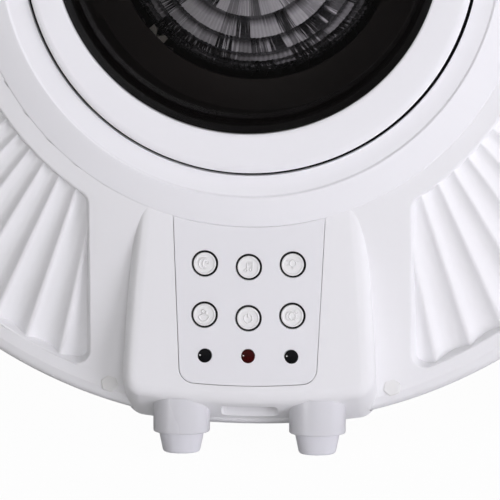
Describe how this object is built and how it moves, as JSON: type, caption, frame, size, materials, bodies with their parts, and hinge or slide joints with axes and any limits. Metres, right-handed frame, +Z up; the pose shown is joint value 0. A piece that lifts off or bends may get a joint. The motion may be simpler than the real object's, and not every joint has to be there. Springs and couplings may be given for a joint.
{
  "type": "planetarium projector",
  "caption": "Upright white disc projector with a smoked lens dome over a turning faceted crystal, fluted fan panels, a button console and stub legs.",
  "frame": {"origin": "centre of the bounding box in plan, on the plane of the feet", "axes": "+Z up; the lens faces -Y; +X is to the viewer's right when the lens faces the viewer"},
  "size_m": [0.2126, 0.0866, 0.2178],
  "materials": {
    "shell_white": "fine satin moulded ABS",
    "panel_white": "satin moulded ABS",
    "ring_white": "satin moulded ABS",
    "plate_white": "satin moulded ABS",
    "button_white": "satin moulded ABS with raised symbols",
    "leg_white": "semi-gloss moulded ABS",
    "foot_rubber": "light grey thermoplastic elastomer",
    "smoked_clear": "polished smoked acrylic",
    "clear_crystal": "clear faceted polystyrene",
    "clear_optic": "clear moulded optic",
    "inner_black": "matt black ABS",
    "seal_black": "black foam",
    "gear_ivory": "unpainted acetal",
    "steel": "plain steel",
    "screw_steel": "zinc-plated steel",
    "bolt_white": "white painted",
    "motor_metal": "plated steel can",
    "laser_brass": "turned brass",
    "sink_aluminium": "extruded aluminium",
    "board_white": "white solder mask on aluminium",
    "emitter": "phosphor and clear resin",
    "board_green": "green solder mask",
    "chip_black": "moulded epoxy",
    "switch_black": "moulded nylon",
    "lens_black": "infrared-clear black resin",
    "lamp_red": "tinted red resin",
    "socket_steel": "nickel-plated steel",
    "speaker_metal": "black painted steel",
    "speaker_paper": "pressed paper"
  },
  "bodies": {
    "housing": {"front_shell": "shell_white", "rear_shell": "shell_white", "console_cover": "shell_white", "flute_panel_left": "panel_white", "flute_panel_right": "panel_white", "flute_panel_top": "panel_white", "collar_ring": "ring_white", "lens_ring": "ring_white", "gap_seal": "seal_black", "smoked_dome": "smoked_clear", "inner_shroud": "inner_black", "control_plate": "plate_white", "control_board": "board_green", "tact_switches": "switch_black", "infrared_window": "lens_black", "indicator_light": "lamp_red", "sensor_window": "lens_black", "port_socket": "socket_steel", "port_tongue": "switch_black", "port_board": "board_green", "front_leg_left": "leg_white", "front_leg_right": "leg_white", "rear_leg_left": "leg_white", "rear_leg_right": "leg_white", "front_foot_left": "foot_rubber", "front_foot_right": "foot_rubber", "rear_foot_left": "foot_rubber", "rear_foot_right": "foot_rubber", "leg_screws": "screw_steel", "hex_bolts": "bolt_white", "engine_base": "inner_black", "post_screws": "screw_steel", "hub_retainer": "gear_ivory", "gear_motor": "motor_metal", "star_pin": "steel", "led_board": "board_white", "led_emitters": "emitter", "condenser_lens": "clear_optic", "heat_sink": "sink_aluminium", "laser_module": "laser_brass", "main_board": "board_green", "board_chips": "chip_black", "speaker_frame": "speaker_metal", "speaker_cone": "speaker_paper"},
    "moon_button": {"button_moon": "button_white"},
    "music_button": {"button_music": "button_white"},
    "lamp_button": {"button_lamp": "button_white"},
    "timer_button": {"button_timer": "button_white"},
    "power_button": {"button_power": "button_white"},
    "stars_button": {"button_stars": "button_white"},
    "crystal_rotor": {"crystal_dome": "clear_crystal", "crown_gear": "gear_ivory"},
    "motor_pinion": {"drive_pinion": "gear_ivory", "motor_shaft": "steel"},
    "star_wheel": {"star_gear": "gear_ivory", "star_film": "clear_optic"}
  },
  "joints": [
    {"name": "moon_press", "type": "slide", "parent": "housing", "child": "moon_button", "axis": [0, 0.9986, -0.0523], "range_m": [0, 0.0006], "stiffness_N_per_m": 1500},
    {"name": "music_press", "type": "slide", "parent": "housing", "child": "music_button", "axis": [0, 0.9986, -0.0523], "range_m": [0, 0.0006], "stiffness_N_per_m": 1500},
    {"name": "lamp_press", "type": "slide", "parent": "housing", "child": "lamp_button", "axis": [0, 0.9986, -0.0523], "range_m": [0, 0.0006], "stiffness_N_per_m": 1500},
    {"name": "timer_press", "type": "slide", "parent": "housing", "child": "timer_button", "axis": [0, 0.9986, -0.0523], "range_m": [0, 0.0006], "stiffness_N_per_m": 1500},
    {"name": "power_press", "type": "slide", "parent": "housing", "child": "power_button", "axis": [0, 0.9986, -0.0523], "range_m": [0, 0.0006], "stiffness_N_per_m": 1500},
    {"name": "stars_press", "type": "slide", "parent": "housing", "child": "stars_button", "axis": [0, 0.9986, -0.0523], "range_m": [0, 0.0006], "stiffness_N_per_m": 1500},
    {"name": "crystal_spin", "type": "hinge", "parent": "housing", "child": "crystal_rotor", "pos_m": [0, -0.0087, 0.1115], "axis": [0, -1, 0], "continuous": true},
    {"name": "pinion_spin", "type": "hinge", "parent": "housing", "child": "motor_pinion", "pos_m": [-0.02563, -0.0047, 0.08587], "axis": [0, -1, 0], "continuous": true},
    {"name": "star_spin", "type": "hinge", "parent": "housing", "child": "star_wheel", "pos_m": [0, -0.0047, 0.14875], "axis": [0, -1, 0], "continuous": true}
  ],
  "couplings": [
    {"joint": "pinion_spin", "follows": "crystal_spin", "ratio": -5},
    {"joint": "star_spin", "follows": "crystal_spin", "ratio": -4.2857}
  ]
}
